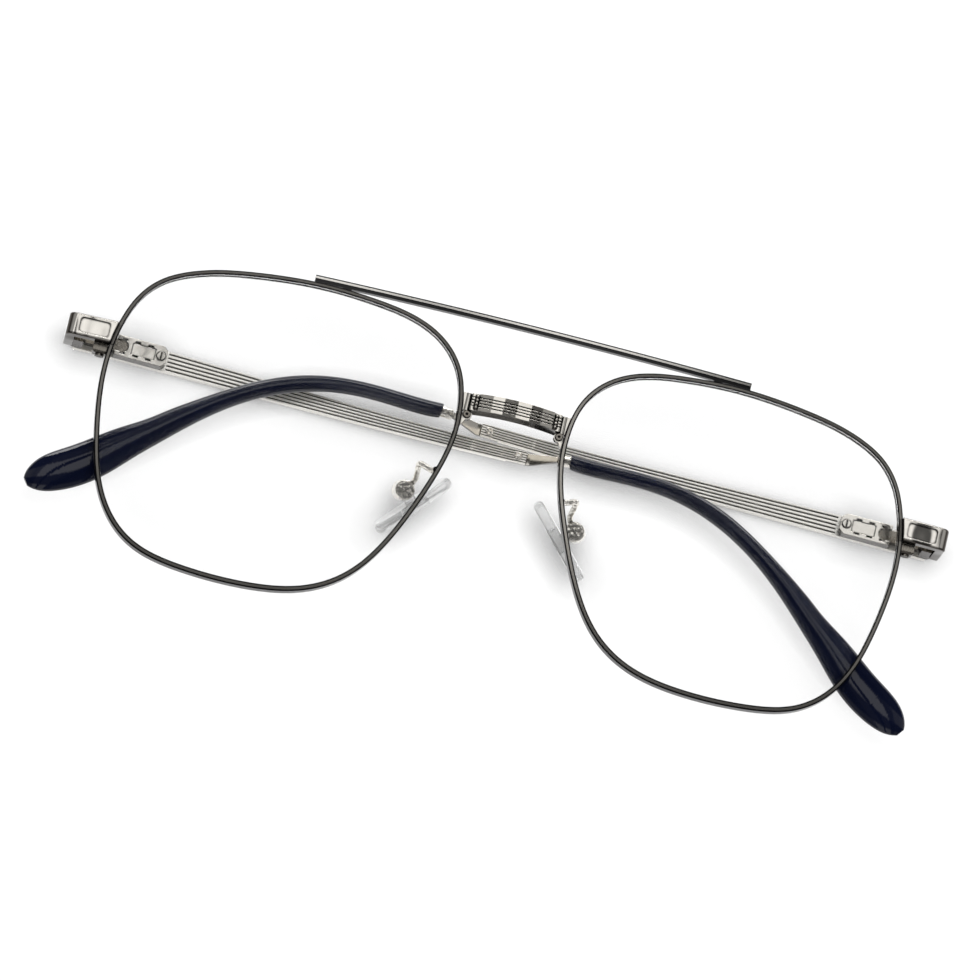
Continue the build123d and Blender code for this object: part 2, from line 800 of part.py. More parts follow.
# Spring hinge slider: the middle eye, a block with a round nose, and a headed rod
rod_end = slider_end + rod_length
slider_radius = slider_width / 2
with BuildPart() as hinge_slider:
    with BuildSketch(Plane.XZ):
        Circle(knuckle_radius)
        with Locations(((slider_neck + slider_radius) / 2, 0)):
            Rectangle(slider_neck + slider_radius, slider_height)
    extrude(amount=eye_length / 2, both=True)
    with BuildSketch(Plane.XY.offset(-slider_height / 2)):
        with Locations(((slider_neck + slider_end - slider_radius) / 2, 0)):
            Rectangle(slider_end - slider_radius - slider_neck, slider_width)
        with Locations((slider_end - slider_radius, 0)):
            Circle(slider_radius)
    extrude(amount=slider_height)
    with BuildSketch(Plane.YZ.offset(slider_end - slider_radius)):
        Circle(rod_radius)
    extrude(amount=rod_end - slider_end + slider_radius)
    with BuildSketch(Plane.YZ.offset(rod_end - rod_head_length)):
        Circle(rod_head_radius)
    extrude(amount=rod_head_length)
    with BuildSketch(Plane.XZ):
        Circle(pin_radius + fit)
    extrude(amount=hinge_length, both=True, mode=Mode.SUBTRACT)

# Spring housing: soldered on the strip, with an open channel for the slider
housing_middle = (housing_start + housing_end) / 2
bore_start = slider_end + spring_wall
with BuildPart() as spring_housing:
    with BuildSketch(Plane.XY.offset(strip_thickness - hinge_height)):
        with Locations((housing_middle, 0)):
            Rectangle(housing_end - housing_start, strip_width)
    extrude(amount=housing_height)
    far_corners = spring_housing.edges().filter_by(Axis.Z).sort_by(Axis.X)[-2:]
    chamfer(far_corners, housing_corner)
    with BuildSketch(Plane.XY.offset(-slider_height / 2 - fit)):
        with Locations(((slider_end - slider_radius) / 2, 0)):
            Rectangle(slider_end - slider_radius, slider_width + 2 * fit)
        with Locations((slider_end - slider_radius, 0)):
            Circle(slider_radius + fit)
    extrude(amount=tall, mode=Mode.SUBTRACT)
    with BuildSketch(Plane.YZ.offset(slider_end - slider_radius)):
        Circle(rod_radius + fit)
    extrude(amount=slider_radius + spring_wall + fit, mode=Mode.SUBTRACT)
    with BuildSketch(Plane.YZ.offset(bore_start)):
        Circle(spring_bore_radius)
    extrude(amount=rod_end + fit - bore_start, mode=Mode.SUBTRACT)
    # the sunk mirror face between the rails
    with BuildSketch(Plane.XY.offset(housing_top)):
        with Locations(((recess_face_start + recess_face_end) / 2, 0)):
            Rectangle(recess_face_end - recess_face_start, slider_width)
    extrude(amount=-recess_face_depth, mode=Mode.SUBTRACT)
    # notches along the inner side of each rail
    with BuildSketch(Plane.XY.offset(housing_top)):
        for notch in range(notch_count):
            for way in (-1, 1):
                notch_y = way * (slider_width + notch_width) / 2
                with Locations((notch_start + notch_length / 2 + notch * notch_pitch, notch_y)):
                    Rectangle(notch_length, notch_width)
    extrude(amount=-notch_depth, mode=Mode.SUBTRACT)
    with BuildSketch(Plane.XY.offset(housing_top)):
        with Locations((retaining_reach, 0)):
            Circle(retaining_radius + seat)
    extrude(amount=-housing_height, mode=Mode.SUBTRACT)

# Spring: wound round the rod, between the housing's inner wall and the rod's head
coil_radius = (rod_radius + spring_bore_radius) / 2
coil_start = bore_start + spring_wire_radius + seat
coil_end = rod_end - rod_head_length - spring_wire_radius - seat
with BuildPart() as spring:
    with BuildLine():
        coil = Helix(
            (coil_end - coil_start) / spring_turns,
            coil_end - coil_start,
            coil_radius,
            center=(coil_start, 0, 0),
            direction=(1, 0, 0),
        )
    with BuildSketch(Plane(coil @ 0, z_dir=coil % 0)):
        Circle(spring_wire_radius)
    sweep(path=coil, is_frenet=True)

# Retaining screw: closes the spring's bore
with BuildPart() as retaining_screw:
    with BuildSketch(Plane.XY.offset(housing_top)):
        with Locations((retaining_reach, 0)):
            Circle(retaining_head_radius)
    extrude(amount=retaining_head_height)
    fillet(retaining_screw.edges().sort_by(Axis.Z)[-1], retaining_head_height / 2)
    with BuildSketch(Plane.XY.offset(housing_top + retaining_head_height)):
        with Locations((retaining_reach, 0)):
            Rectangle(slot_width, 2 * retaining_head_radius)
    extrude(amount=-slot_depth, mode=Mode.SUBTRACT)
    with BuildSketch(Plane.XY.offset(housing_top)):
        with Locations((retaining_reach, 0)):
            Circle(retaining_radius)
    extrude(amount=-(housing_height - seat))

# Rivet: through the strip's end and the paddle beneath it
with BuildPart() as rivet:
    with BuildSketch(rivet_plane):
        Circle(rivet_head_radius)
    extrude(amount=rivet_head_height)
    fillet(rivet.edges().filter_by(GeomType.CIRCLE).sort_by(Axis.Z)[-1], rivet_head_height / 2)
    with BuildSketch(rivet_plane):
        Circle(rivet_radius)
    extrude(amount=-strip_thickness)

# The wire's route: out of the paddle, through the ferrule and down the tip
turn_x = tip_start + tip_turn


def tip_height(x):
    """Height in the temple's frame of the wire and the tip's middle."""
    straight = temple_height(min(x, turn_x), strip_thickness / 2)
    return straight + max(x - turn_x, 0) * tip_slope


def tip_point(along, below):
    """A point on the tip's middle line, from shares of its length and drop."""
    x = tip_start + along * tip_length
    return Vector(x, tip_rise - below * tip_drop, tip_height(x))


wire_root = Vector(wire_start, wire_root_rise, tip_height(wire_start))
wire_points = [wire_root] + [tip_point(*share) for share in wire_shares]
wire_direction = (wire_points[1] - wire_root).normalized()
wire_plane = Plane(wire_root, x_dir=(0, 1, 0), z_dir=wire_direction)
wire_path = FilletPolyline(
    *wire_points, radius=[wire_turn_radius, wire_bend_radius, wire_bend_radius]
)
paddle_body = temple_band(seat, paddle_thickness, 0, paddle_end)
paddle_plane = Plane(
    (paddle_end, end_middle, temple_height(paddle_end, (paddle_thickness + seat) / 2)),
    x_dir=(0, 1, 0),
    z_dir=(cos(radians(bend_angle)), 0, sin(radians(bend_angle))),
)

# Core wire: a flat paddle that narrows into a round wire
with BuildPart() as core_wire:
    add(paddle_body)
    with BuildSketch(Plane.XY.offset(-tall / 2)):
        with Locations(((paddle_start + paddle_end) / 2, end_middle)):
            Rectangle(paddle_end - paddle_start, paddle_width)
    extrude(amount=tall, mode=Mode.INTERSECT)
    with BuildSketch(paddle_plane):
        Rectangle(paddle_width, paddle_thickness - seat)
    with BuildSketch(wire_plane):
        Rectangle(1.8 * wire_radius, 1.8 * wire_radius)
    loft()
    with BuildSketch(wire_plane):
        Circle(wire_radius)
    sweep(path=wire_path)
    with BuildSketch(rivet_plane):
        Circle(rivet_radius + seat)
    extrude(amount=tall, both=True, mode=Mode.SUBTRACT)

# Ferrule: the bright collar at the tip's mouth
mouth = wire_root + wire_direction * ((tip_start - wire_start) / wire_direction.X)
mouth_plane = Plane(mouth, x_dir=(0, 1, 0), z_dir=wire_direction)
with BuildPart() as ferrule:
    with BuildSketch(mouth_plane):
        Circle(ferrule_radius)
    extrude(amount=-ferrule_length)
    fillet(ferrule.edges().filter_by(GeomType.CIRCLE).sort_by(Axis.X)[0], ferrule_edge)
    with BuildSketch(mouth_plane):
        Circle(wire_radius + seat)
    extrude(amount=-tall, mode=Mode.SUBTRACT)

# Tip: a slim tube that bends down and swells into a flat round-ended blade
tip_planes = [mouth_plane]
for before, here, after in zip(tip_shares, tip_shares[1:], tip_shares[2:] + [None]):
    ahead = tip_point(*(after or here)[:2])
    heading = ahead - tip_point(*before[:2])
    flatwise = heading.cross(Vector(0, 0, 1))
    tip_planes.append(Plane(tip_point(*here[:2]), x_dir=flatwise, z_dir=heading))
with BuildPart() as tip:
    for plane, (along, below, across, through) in zip(tip_planes, tip_shares):
        with BuildSketch(plane):
            if plane is mouth_plane:
                Circle(through * tip_thickness / 2)
            else:
                Ellipse(across * tip_width / 2, through * tip_thickness / 2)
    loft()
    with BuildSketch(wire_plane):
        Circle(wire_radius + seat)
    sweep(path=wire_path, mode=Mode.SUBTRACT)

# Nose pads: each stands nearly on edge, beside the nose
lean = radians(pad_lean)
splay = radians(pad_splay)
pad_along = Vector(cos(lean), -sin(lean), 0)
pad_level = Vector(sin(lean), cos(lean), 0)
pad_out = pad_level * cos(splay) + Vector(0, 0, sin(splay))
pad_front = Vector(0, 0, cos(splay)) - pad_level * sin(splay)
pad_centre = Vector(pad_reach, hinge_rise - pad_drop, pad_height)
pad_plane = Plane(pad_centre, x_dir=pad_along, z_dir=pad_out)
box_set = box_radius + box_gap
box_centre = pad_centre + pad_out * (pad_thickness / 2 + box_set)
rock_plane = Plane(box_centre, x_dir=pad_along, z_dir=pad_front)
box_half = box_slot / 2 + box_cheek

# Pad insert: a plate inside the pad, with a tongue that the screw holds
with BuildPart() as pad_insert:
    with BuildSketch(pad_plane.offset(-insert_depth / 2)):
        RectangleRounded(insert_length, insert_width, insert_width / 3)
    extrude(amount=insert_depth)
    with BuildSketch(rock_plane):
        Circle(tongue_radius)
        with Locations((0, -(box_set + pad_thickness / 2) / 2)):
            Rectangle(2 * tongue_radius, box_set + pad_thickness / 2)
    extrude(amount=box_slot / 2 - fit, both=True)
    with BuildSketch(rock_plane):
        Circle(pad_screw_radius + fit)
    extrude(amount=box_slot, both=True, mode=Mode.SUBTRACT)

with BuildPart() as nose_pad:
    with BuildSketch(pad_plane.offset(-pad_thickness / 2)):
        with Locations((pad_length / 2 - pad_bottom_radius, 0)):
            Circle(pad_bottom_radius)
        with Locations((pad_top_radius - pad_length / 2, 0)):
            Circle(pad_top_radius)
        make_hull()
    extrude(amount=pad_thickness)
    fillet(nose_pad.edges(), pad_edge)
    add(pad_insert.part, mode=Mode.SUBTRACT)

# Pad box: a round cup with two cheeks, open towards the pad
with BuildPart() as pad_box:
    with BuildSketch(rock_plane):
        Circle(box_radius)
    extrude(amount=box_half, both=True)
    fillet(pad_box.edges().filter_by(GeomType.CIRCLE).sort_by(Axis.Z)[-1], box_back)
    with BuildSketch(rock_plane):
        Circle(box_radius - box_back)
        with Locations((0, -box_radius)):
            Rectangle(2 * (box_radius - box_back), 2 * box_radius)
    extrude(amount=box_slot / 2, both=True, mode=Mode.SUBTRACT)
    with BuildSketch(rock_plane):
        Circle(pad_screw_radius + seat)
    extrude(amount=tall, both=True, mode=Mode.SUBTRACT)

with BuildPart() as pad_screw:
    with BuildSketch(rock_plane.offset(box_half)):
        Circle(pad_screw_head_radius)
    extrude(amount=pad_screw_head_height)
    with BuildSketch(rock_plane.offset(box_half + pad_screw_head_height)):
        Rectangle(2 * pad_screw_head_radius, slot_width)
    extrude(amount=-slot_depth, mode=Mode.SUBTRACT)
    with BuildSketch(rock_plane.offset(box_half)):
        Circle(pad_screw_radius)
    extrude(amount=-2 * box_half)

# Pad arm: a wire from the rim's back, round a loop, to the pad box
arm_y = hinge_rise - arm_root_drop
arm_z = dome_height(arm_root_reach, arm_y)
arm_points = [
    Vector(arm_root_reach, arm_y, arm_z),
    Vector(arm_root_reach + arm_radius / 2, arm_y, arm_z - arm_loop_back),
    Vector(arm_root_reach + arm_loop_out, arm_y + arm_loop_up, arm_z - arm_mid_back),
    Vector(arm_root_reach + arm_lower_out, arm_y - arm_radius, arm_z - arm_lower_back),
    box_centre - pad_along * (box_radius - box_back / 2),
]
arm_path = FilletPolyline(*arm_points, radius=arm_bend_radius)
with BuildPart() as pad_arm:
    with BuildSketch(Plane(arm_points[0], z_dir=arm_points[1] - arm_points[0])):
        Circle(arm_radius)
    sweep(path=arm_path)
    add(rim_band, mode=Mode.SUBTRACT)
    with BuildSketch(rock_plane):
        Circle(box_radius)
    extrude(amount=box_half, both=True, mode=Mode.SUBTRACT)

front_pieces = {
    "rim": rim,
    "lens": lens,
    "endpiece": endpiece,
    "upper_closing_block": upper_closing_block,
    "lower_closing_block": lower_closing_block,
    "closing_screw": closing_screw,
    "bridge_lug": bridge_lug,
    "bridge_pin": bridge_pin,
    "pad_arm": pad_arm,
    "pad_box": pad_box,
    "pad_screw": pad_screw,
    "pad_insert": pad_insert,
    "nose_pad": nose_pad,
}
temple_pieces = {
    "endpiece_knuckles": endpiece_knuckles,
    "hinge_screw": hinge_screw,
    "hinge_slider": hinge_slider,
    "spring_housing": spring_housing,
    "spring": spring,
    "retaining_screw": retaining_screw,
    "temple_strip": temple_strip,
    "rivet": rivet,
    "core_wire": core_wire,
    "ferrule": ferrule,
    "temple_tip": tip,
}


def write_node(shape, name):
    """Write one piece of the glasses in its place."""
    with BuildPart() as node:
        add(shape)
    node.part.label = name
    export_step(node.part, f"parts/{name}.step")


for name, piece in front_pieces.items():
    write_node(piece.part, f"right_{name}")
    write_node(mirror(piece.part, about=Plane.YZ), f"left_{name}")
for name, piece in temple_pieces.items():
    leaning = Rot(0, 0, -hinge_tilt)
    right_hinge = Pos(hinge_reach, hinge_rise, hinge_height) * leaning
    left_hinge = Pos(-hinge_reach, hinge_rise, hinge_height) * leaning
    write_node(right_hinge * mirror(piece.part, about=Plane.YZ), f"right_{name}")
    write_node(left_hinge * piece.part, f"left_{name}")
write_node(bridge.part, "bridge")
write_node(top_bar.part, "top_bar")
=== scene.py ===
import math

import bmesh
import bpy
from mathutils import Matrix, Vector

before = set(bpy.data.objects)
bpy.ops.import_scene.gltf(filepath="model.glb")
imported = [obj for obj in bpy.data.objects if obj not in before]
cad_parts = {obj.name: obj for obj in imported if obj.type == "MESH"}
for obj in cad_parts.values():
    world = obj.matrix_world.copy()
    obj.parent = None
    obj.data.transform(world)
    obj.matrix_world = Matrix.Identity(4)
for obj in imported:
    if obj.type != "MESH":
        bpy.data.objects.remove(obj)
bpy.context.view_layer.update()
scene = bpy.context.scene
scene.view_settings.view_transform = "Standard"


# Camera
# The glasses are seen through a long lens, 15 degrees from straight above and 4 degrees
# to the left, and lie turned about 14 degrees in the picture.
picture_width = 0.1543
camera_distance = 1.3
camera_tip = math.radians(15.0)
camera_side = math.radians(4.0)
camera_roll = math.radians(13.97)
aim = Vector((-0.00113, -0.00101, 0.0115))
tipped_back = Vector((0, -math.sin(camera_tip), math.cos(camera_tip)))
tipped_up = Vector((0, math.cos(camera_tip), math.sin(camera_tip)))
to_camera = tipped_back * math.cos(camera_side) - Vector((1, 0, 0)) * math.sin(camera_side)
level_right = Vector((1, 0, 0)) * math.cos(camera_side) + tipped_back * math.sin(camera_side)
camera_right = level_right * math.cos(camera_roll) + tipped_up * math.sin(camera_roll)
camera_up = tipped_up * math.cos(camera_roll) - level_right * math.sin(camera_roll)
camera_data = bpy.data.cameras.new("camera")
camera_data.sensor_width = 36
camera_data.lens = camera_data.sensor_width * camera_distance / picture_width
camera_data.clip_start = 0.01
camera_data.dof.use_dof = False
camera = bpy.data.objects.new("camera", camera_data)
turn = Matrix((camera_right, camera_up, to_camera)).transposed().to_4x4()
camera.matrix_world = Matrix.Translation(aim + to_camera * camera_distance) @ turn
scene.collection.objects.link(camera)
scene.camera = camera


# Tent
# A white tent stands round the glasses, with dark gaps between its panels that polished metal
# shows as dark lines. A row of bare tubes low behind the glasses gives round parts a pale line.
def node(tree, kind, inputs=None, **settings):
    """Adds a node with its settings, and sets or links its inputs."""
    added = tree.nodes.new(kind)
    for name, value in settings.items():
        setattr(added, name, value)
    for name, value in (inputs or {}).items():
        if isinstance(value, bpy.types.NodeSocket):
            tree.links.new(value, added.inputs[name])
        else:
            added.inputs[name].default_value = value
    return added


# each stop is a place across the tent, from 0 on one side to 1 on the other, and its brightness
panels_left_to_right = (
    (0.00, 0.60), (0.20, 0.45), (0.30, 0.28), (0.365, 0.42), (0.385, 1.25), (0.470, 1.25),
    (0.477, 0.03), (0.503, 0.03), (0.510, 1.25), (0.595, 1.25), (0.613, 0.08), (0.68, 0.12),
    (0.71, 0.40), (0.80, 0.40), (1.00, 0.60),
)
panels_near_to_far = (
    (0.00, 0.75), (0.18, 0.75), (0.26, 0.08), (0.50, 0.06), (0.545, 1.00), (0.73, 1.00),
    (0.76, 0.10), (0.96, 0.12), (1.00, 0.75),
)
tube_place = 0.915
tube_reach = 0.05
tube_light = 6.0
tent_world = bpy.data.worlds.new("tent")
tent_world.use_nodes = True
tree = tent_world.node_tree
tree.nodes.clear()
around = node(tree, "ShaderNodeTexCoord")
towards = node(tree, "ShaderNodeSeparateXYZ", {0: around.outputs["Generated"]})
panels = []
for axis, stops in (("X", panels_left_to_right), ("Y", panels_near_to_far)):
    place = node(tree, "ShaderNodeMapRange", {"Value": towards.outputs[axis], "From Min": -1.0})
    ramp = node(tree, "ShaderNodeValToRGB", {0: place.outputs[0]})
    for number, (where, level) in enumerate(stops):
        if number < 2:
            stop = ramp.color_ramp.elements[number]
            stop.position = where
        else:
            stop = ramp.color_ramp.elements.new(where)
        stop.color = (level, level, level, 1)
    panels.append(ramp.outputs["Color"])
lit = node(
    tree, "ShaderNodeMix", {"Factor": 1.0, "A": panels[0], "B": panels[1]},
    data_type="RGBA", blend_type="MULTIPLY",
)
tubes = node(
    tree, "ShaderNodeMath", {0: towards.outputs["Y"], 1: tube_place, 2: tube_reach},
    operation="COMPARE",
)
overhead = node(tree, "ShaderNodeMath", {0: towards.outputs["Z"], 1: 0.0}, operation="GREATER_THAN")
tubes = node(
    tree, "ShaderNodeMath", {0: tubes.outputs[0], 1: overhead.outputs[0]}, operation="MULTIPLY"
)
tubes = node(tree, "ShaderNodeMath", {0: tubes.outputs[0], 1: tube_light}, operation="MULTIPLY")
lit = node(
    tree, "ShaderNodeMix", {"Factor": 1.0, "A": lit.outputs["Result"], "B": tubes.outputs[0]},
    data_type="RGBA", blend_type="ADD",
)
# the picture's own background is plain white
path = node(tree, "ShaderNodeLightPath")
lit = node(
    tree, "ShaderNodeMix",
    {"Factor": path.outputs["Is Camera Ray"], "A": lit.outputs["Result"], "B": (1, 1, 1, 1)},
    data_type="RGBA",
)
tent = node(tree, "ShaderNodeBackground", {"Color": lit.outputs["Result"], "Strength": 1.0})
node(tree, "ShaderNodeOutputWorld", {"Surface": tent.outputs[0]})
scene.world = tent_world


# Sheet and lamps
# The glasses lie on a thin white sheet, lit by a broad lamp and a long strip lamp. An opened
# temple hangs below the sheet, so the sheet lets it show and lets light down to it, and keeps
# a soft shadow where something lies close above it.
sheet_white = 0.75
sheet_glow = 0.52
shadow_reach = 0.005
lamp_shadow_share = 0.1
lamp_shadow_white = 1.6
sheet_data = bpy.data.meshes.new("white_sheet")
shape = bmesh.new()
just_under = Matrix.Translation((0, 0, -0.0001))
bmesh.ops.create_grid(shape, x_segments=1, y_segments=1, size=2.0, matrix=just_under)
shape.to_mesh(sheet_data)
shape.free()
white_sheet = bpy.data.objects.new("white_sheet", sheet_data)
scene.collection.objects.link(white_sheet)
paper = bpy.data.materials.new("white_paper")
paper.use_nodes = True
tree = paper.node_tree
tree.nodes.clear()
path = node(tree, "ShaderNodeLightPath")
# what metal and lenses show of the sheet: white paper with a little glow
mirrored = node(
    tree, "ShaderNodeMath",
    {0: path.outputs["Is Glossy Ray"], 1: path.outputs["Is Transmission Ray"]},
    operation="MAXIMUM",
)
strength = node(tree, "ShaderNodeMath", {0: mirrored.outputs[0], 1: sheet_glow}, operation="MULTIPLY")
matt = node(tree, "ShaderNodeBsdfDiffuse", {"Color": (sheet_white, sheet_white, sheet_white, 1)})
glow = node(tree, "ShaderNodeEmission", {"Color": (1, 1, 1, 1), "Strength": strength.outputs[0]})
paper_look = node(tree, "ShaderNodeAddShader", {0: matt.outputs[0], 1: glow.outputs[0]})
# what the picture shows of it: the white beyond, darkened by what lies close above
contact = node(tree, "ShaderNodeAmbientOcclusion", {"Distance": shadow_reach}, samples=8)
through = node(tree, "ShaderNodeBsdfTransparent", {"Color": contact.outputs["Color"]})
shaded = node(
    tree, "ShaderNodeBsdfDiffuse",
    {"Color": (lamp_shadow_white, lamp_shadow_white, lamp_shadow_white, 1)},
)
shown = node(
    tree, "ShaderNodeMixShader",
    {0: lamp_shadow_share, 1: through.outputs[0], 2: shaded.outputs[0]},
)
from_above = node(
    tree, "ShaderNodeMixShader",
    {0: path.outputs["Is Camera Ray"], 1: paper_look.outputs[0], 2: shown.outputs[0]},
)
# from below it is not there at all
sheet_side = node(tree, "ShaderNodeNewGeometry")
from_below = node(tree, "ShaderNodeBsdfTransparent", {"Color": (1, 1, 1, 1)})
sheet_look = node(
    tree, "ShaderNodeMixShader",
    {0: sheet_side.outputs["Backfacing"], 1: from_above.outputs[0], 2: from_below.outputs[0]},
)
node(tree, "ShaderNodeOutputMaterial", {"Surface": sheet_look.outputs[0]})
sheet_data.materials.append(paper)

for name, place, size, power in (
    ("broad_lamp", (0.15, 0.25, 0.9), (0.7, 0.7), 7.0),
    ("strip_lamp", (-0.2, -0.55, 0.75), (0.9, 0.05), 1.6),
):
    lamp_data = bpy.data.lights.new(name, "AREA")
    lamp_data.shape = "RECTANGLE"
    lamp_data.size = size[0]
    lamp_data.size_y = size[1]
    lamp_data.energy = power
    lamp = bpy.data.objects.new(name, lamp_data)
    # the lamps are behind the tent's cloth, so metal and lenses show the tent and not them
    lamp.visible_glossy = False
    lamp.visible_transmission = False
    facing_glasses = Vector(place).to_track_quat("Z", "Y").to_matrix().to_4x4()
    lamp.matrix_world = Matrix.Translation(place) @ facing_glasses
    scene.collection.objects.link(lamp)


# Rims
# Stainless steel wire, black lacquered all round. Its front rises to a ridge, and the crest is
# coloured as pale bare steel, which mirrors the room: a painted highlight that stands in for
# the thin pale line of light on the lacquer.
def linear(code):
    """Turns an sRGB hex colour to linear red, green, blue and alpha."""
    parts = [int(code[i : i + 2], 16) / 255 for i in (1, 3, 5)]
    return tuple(
        v / 12.92 if v <= 0.04045 else ((v + 0.055) / 1.055) ** 2.4 for v in parts
    ) + (1.0,)


def surface(name):
    """A new material with its shader and the coordinates that its patterns follow."""
    material = bpy.data.materials.new(name)
    material.use_nodes = True
    tree = material.node_tree
    shader = tree.nodes["Principled BSDF"]
    where = node(tree, "ShaderNodeTexCoord")
    return material, tree, shader, where


def noise_scale(size_in_mm):
    """The scale at which a noise pattern's patches are about this wide."""
    return 1000.0 / size_in_mm


def lacquered(tree, shader, where):
    """Sprayed lacquer's faint orange peel, in its relief and its gloss."""
    peel = node(
        tree, "ShaderNodeTexNoise",
        {"Vector": where.outputs["Object"], "Scale": noise_scale(0.385), "Detail": 2.0},
    )
    relief = node(
        tree, "ShaderNodeBump", {"Height": peel.outputs[0], "Strength": 0.06, "Distance": 0.00002}
    )
    tree.links.new(relief.outputs[0], shader.inputs["Normal"])
    gloss = node(tree, "ShaderNodeMapRange", {"Value": peel.outputs[0], "To Min": 0.14, "To Max": 0.24})
    tree.links.new(gloss.outputs[0], shader.inputs["Roughness"])


def dress(material, *kinds):
    """Gives a finish to the pieces of a kind on both sides, or to one named piece."""
    for kind in kinds:
        names = [kind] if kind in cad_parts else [f"{side}_{kind}" for side in ("left", "right")]
        for name in names:
            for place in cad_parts[name].material_slots:
                place.material = material


# the rims follow the lenses' dome, and the crest is what lies farthest from the dome's centre
dome_centre = (0.02746, 0.0014, -0.1167)
crest_distance = 0.13187
crest_metallic = 0.8
rim_lacquer, tree, shader, where = surface("black_lacquered_steel")
shader.inputs["Specular IOR Level"].default_value = 0.1
point = node(tree, "ShaderNodeSeparateXYZ", {0: where.outputs["Object"]})
outward = node(tree, "ShaderNodeMath", {0: point.outputs["X"]}, operation="ABSOLUTE")
folded = node(
    tree, "ShaderNodeCombineXYZ",
    {"X": outward.outputs[0], "Y": point.outputs["Y"], "Z": point.outputs["Z"]},
)
rise = node(
    tree, "ShaderNodeVectorMath", {0: folded.outputs[0], 1: dome_centre}, operation="DISTANCE"
)
crest = node(
    tree, "ShaderNodeMath", {0: rise.outputs["Value"], 1: crest_distance},
    operation="GREATER_THAN",
)
# painted highlight: the crest's pale steel colour stands in for the lacquer's line of light
colour = node(
    tree, "ShaderNodeMix",
    {"Factor": crest.outputs[0], "A": linear("#08080a"), "B": linear("#8f8c86")},
    data_type="RGBA",
)
tree.links.new(colour.outputs["Result"], shader.inputs["Base Color"])
metal = node(tree, "ShaderNodeMath", {0: crest.outputs[0], 1: crest_metallic}, operation="MULTIPLY")
tree.links.new(metal.outputs[0], shader.inputs["Metallic"])
lacquered(tree, shader, where)
dress(rim_lacquer, "rim")


# Top bar
# A flat steel strip, black lacquered, bowed and soldered on both rims. The upper half of
# its front stands proud, and a band of it is coloured pale bare metal: a painted highlight
# that shows as a light line between dark ones.
streak_bottom = 0.02556
streak_top = 0.02588
# a face looks forwards where its normal leans less than 60 degrees from straight up
forwards = 0.5
bar_lacquer, tree, shader, where = surface("lacquered_bar_painted_highlight")
shader.inputs["Specular IOR Level"].default_value = 0.25
point = node(tree, "ShaderNodeSeparateXYZ", {0: where.outputs["Object"]})
facing = node(tree, "ShaderNodeSeparateXYZ", {0: where.outputs["Normal"]})
above = node(
    tree, "ShaderNodeMath", {0: point.outputs["Y"], 1: streak_bottom}, operation="GREATER_THAN"
)
below = node(tree, "ShaderNodeMath", {0: point.outputs["Y"], 1: streak_top}, operation="LESS_THAN")
front = node(tree, "ShaderNodeMath", {0: facing.outputs["Z"], 1: forwards}, operation="GREATER_THAN")
streak = node(tree, "ShaderNodeMath", {0: above.outputs[0], 1: below.outputs[0]}, operation="MULTIPLY")
streak = node(tree, "ShaderNodeMath", {0: streak.outputs[0], 1: front.outputs[0]}, operation="MULTIPLY")
# painted highlight: a pale band across the upper half of the front
colour = node(
    tree, "ShaderNodeMix",
    {"Factor": streak.outputs[0], "A": linear("#0c0c0d"), "B": linear("#d6d3cd")},
    data_type="RGBA",
)
tree.links.new(colour.outputs["Result"], shader.inputs["Base Color"])
tree.links.new(streak.outputs[0], shader.inputs["Metallic"])
lacquered(tree, shader, where)
dress(bar_lacquer, "top_bar")


# Lenses
# Flat-power display lenses of cast plastic, polished and coated, so that light passes straight
# through them. They mirror the room only where they are seen at a low angle.
lens_index = 1.49
straight_on, low_down = 0.045, 0.6
clear_straight_on, clear_low_down = 0.99, 0.5
lens_plastic, tree, shader, where = surface("clear_cast_lens")
shader.inputs["Base Color"].default_value = linear("#fbfcfc")
shader.inputs["Transmission Weight"].default_value = 1.0
shader.inputs["IOR"].default_value = lens_index
smear = node(
    tree, "ShaderNodeTexNoise",
    {"Vector": where.outputs["Object"], "Scale": noise_scale(16.7), "Detail": 3.0},
)
gloss = node(tree, "ShaderNodeMapRange", {"Value": smear.outputs[0], "To Min": 0.0, "To Max": 0.02})
tree.links.new(gloss.outputs[0], shader.inputs["Roughness"])
path = node(tree, "ShaderNodeLightPath")
mirroring = node(tree, "ShaderNodeFresnel", {"IOR": lens_index})
clear = node(
    tree, "ShaderNodeMapRange",
    {"Value": mirroring.outputs[0], "From Min": straight_on, "From Max": low_down,
     "To Min": clear_straight_on, "To Max": clear_low_down},
)
clear = node(
    tree, "ShaderNodeMath", {0: path.outputs["Is Shadow Ray"], 1: clear.outputs[0]},
    operation="MAXIMUM",
)
passing = node(tree, "ShaderNodeBsdfTransparent", {"Color": linear("#fcfcfc")})
mixed = node(
    tree, "ShaderNodeMixShader", {0: clear.outputs[0], 1: shader.outputs[0], 2: passing.outputs[0]}
)
tree.links.new(mixed.outputs[0], tree.nodes["Material Output"].inputs["Surface"])
dress(lens_plastic, "lens")


# Bridge, its posts, and the temples' wires
# Nickel silver, stamped and machined. Faces that point sideways get painted shade, and faces
# to the front and back stay bright. Buffing rounds the edges, and painted shade darkens the corners.
def painted_side_shade(tree, where, bright):
    """Painted shade on faces that point sideways; faces to the front and back stay bright."""
    # painted shade: the sides are darkened by the direction they face
    facing = node(tree, "ShaderNodeSeparateXYZ", {0: where.outputs["Normal"]})
    level = node(tree, "ShaderNodeMath", {0: facing.outputs["Z"]}, operation="ABSOLUTE")
    unshaded_face = node(
        tree, "ShaderNodeMapRange", {"Value": level.outputs[0], "From Min": 0.8, "From Max": 0.95}
    )
    return node(
        tree, "ShaderNodeMix",
        {"Factor": unshaded_face.outputs[0], "A": linear("#3d3935"), "B": bright.outputs["Result"]},
        data_type="RGBA",
    )


